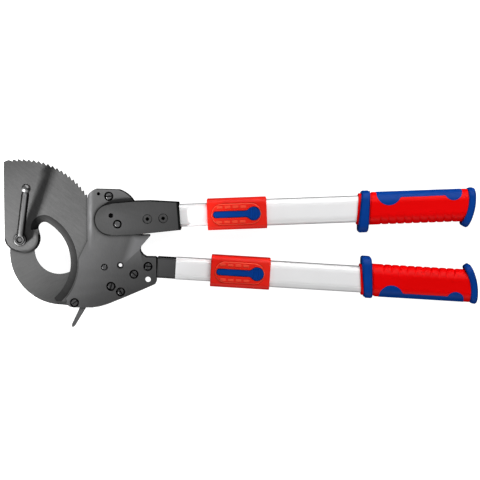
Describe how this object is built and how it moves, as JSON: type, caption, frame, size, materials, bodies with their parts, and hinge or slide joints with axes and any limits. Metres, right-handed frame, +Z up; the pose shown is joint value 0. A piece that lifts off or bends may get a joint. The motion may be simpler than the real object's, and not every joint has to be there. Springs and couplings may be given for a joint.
{
  "type": "ratchet cable cutter",
  "caption": "Large ratchet cable cutter with a toothed sector blade, a hooked fixed blade and two telescopic handles with lock buttons and moulded grips.",
  "frame": {"origin": "on the resting plane, below the axis of the blades' pivot bolt, in the middle of its nut's end face", "axes": "+X runs from the cutting head to the grips, +Y from the fixed handle to the moving handle, and +Z up out of the face with the clamp lever"},
  "size_m": [0.627, 0.2232, 0.0497],
  "materials": {
    "blade_steel": "ground",
    "frame_steel": "dark burnished",
    "fork_steel": "satin dark",
    "screw_steel": "satin",
    "polished_steel": "polished",
    "white_coat": "smooth coating",
    "red_plastic": "fine satin",
    "blue_plastic": "soft satin"
  },
  "bodies": {
    "root": {"fixed_blade": "blade_steel", "front_plate": "frame_steel", "rear_plate": "frame_steel", "spacer_top": "frame_steel", "spacer_bottom": "frame_steel", "frame_screw_1": "screw_steel", "frame_screw_2": "screw_steel", "frame_screw_3": "screw_steel", "frame_screw_4": "screw_steel", "frame_screw_5": "screw_steel", "frame_screw_6": "screw_steel", "fork_pivot_pin": "frame_steel", "release_pin": "screw_steel", "blade_pivot_bolt": "screw_steel", "front_washer": "screw_steel", "rear_washer": "screw_steel", "blade_pivot_nut": "frame_steel", "spring_post": "frame_steel", "drive_spring": "screw_steel", "release_spring": "screw_steel", "handle_tang": "fork_steel", "lower_inner_tube": "white_coat"},
    "blade": {"moving_blade": "blade_steel"},
    "clamp": {"clamp_lever": "frame_steel", "clamp_ball": "polished_steel"},
    "handle": {"fork": "fork_steel", "fork_rivet_1": "fork_steel", "fork_rivet_2": "fork_steel", "pawl_pin": "screw_steel", "upper_inner_tube": "white_coat"},
    "drive_pawl": {"drive_pawl": "frame_steel"},
    "release": {"holding_pawl": "frame_steel"},
    "upper_extension": {"upper_outer_tube": "white_coat", "upper_lock_sleeve": "red_plastic", "upper_lock_spring": "screw_steel", "upper_grip": "red_plastic", "upper_grip_inlay": "blue_plastic", "upper_grip_collar": "blue_plastic", "upper_grip_cap": "blue_plastic"},
    "lower_extension": {"lower_outer_tube": "white_coat", "lower_lock_sleeve": "red_plastic", "lower_lock_spring": "screw_steel", "lower_grip": "red_plastic", "lower_grip_inlay": "blue_plastic", "lower_grip_collar": "blue_plastic", "lower_grip_cap": "blue_plastic"},
    "upper_button": {"upper_lock_button": "blue_plastic", "upper_lock_pin": "screw_steel"},
    "lower_button": {"lower_lock_button": "blue_plastic", "lower_lock_pin": "screw_steel"}
  },
  "joints": [
    {"name": "blade_turn", "type": "hinge", "parent": "root", "child": "blade", "pos_m": [0, 0, 0.0234], "axis": [0, 0, 1], "range_deg": [-88, 135]},
    {"name": "clamp_turn", "type": "hinge", "parent": "root", "child": "clamp", "pos_m": [0, 0, 0.033], "axis": [0, 0, 1], "range_deg": [0, 180]},
    {"name": "handle_swing", "type": "hinge", "parent": "root", "child": "handle", "pos_m": [0.1208, 0.0322, 0.02], "axis": [0, 0, 1], "range_deg": [0, 28]},
    {"name": "drive_pawl_swing", "type": "hinge", "parent": "handle", "child": "drive_pawl", "pos_m": [0.1294, 0.0209, 0.0234], "axis": [0, 0, 1], "range_deg": [-34, 0], "deforming": ["drive_spring"]},
    {"name": "release_swing", "type": "hinge", "parent": "root", "child": "release", "pos_m": [0.1115, -0.0365, 0.0234], "axis": [0, 0, 1], "range_deg": [0, 12], "stiffness_Nm_per_rad": 0.6, "deforming": ["release_spring"]},
    {"name": "upper_extend", "type": "slide", "parent": "handle", "child": "upper_extension", "axis": [0.9993, 0.0366, 0], "range_m": [0, 0.24]},
    {"name": "lower_extend", "type": "slide", "parent": "root", "child": "lower_extension", "axis": [0.9981, -0.0609, 0], "range_m": [0, 0.24]},
    {"name": "upper_button_press", "type": "hinge", "parent": "upper_extension", "child": "upper_button", "pos_m": [0.28378, 0.03422, 0.037], "axis": [-0.0366, 0.9993, 0], "range_deg": [0, 5], "stiffness_Nm_per_rad": 0.4, "deforming": ["upper_lock_spring"]},
    {"name": "lower_button_press", "type": "hinge", "parent": "lower_extension", "child": "lower_button", "pos_m": [0.28823, -0.04359, 0.037], "axis": [0.0609, 0.9981, 0], "range_deg": [0, 5], "stiffness_Nm_per_rad": 0.4, "deforming": ["lower_lock_spring"]}
  ],
  "couplings": [
    {"joint": "drive_pawl_swing", "follows": "handle_swing", "ratio": -1.2}
  ]
}
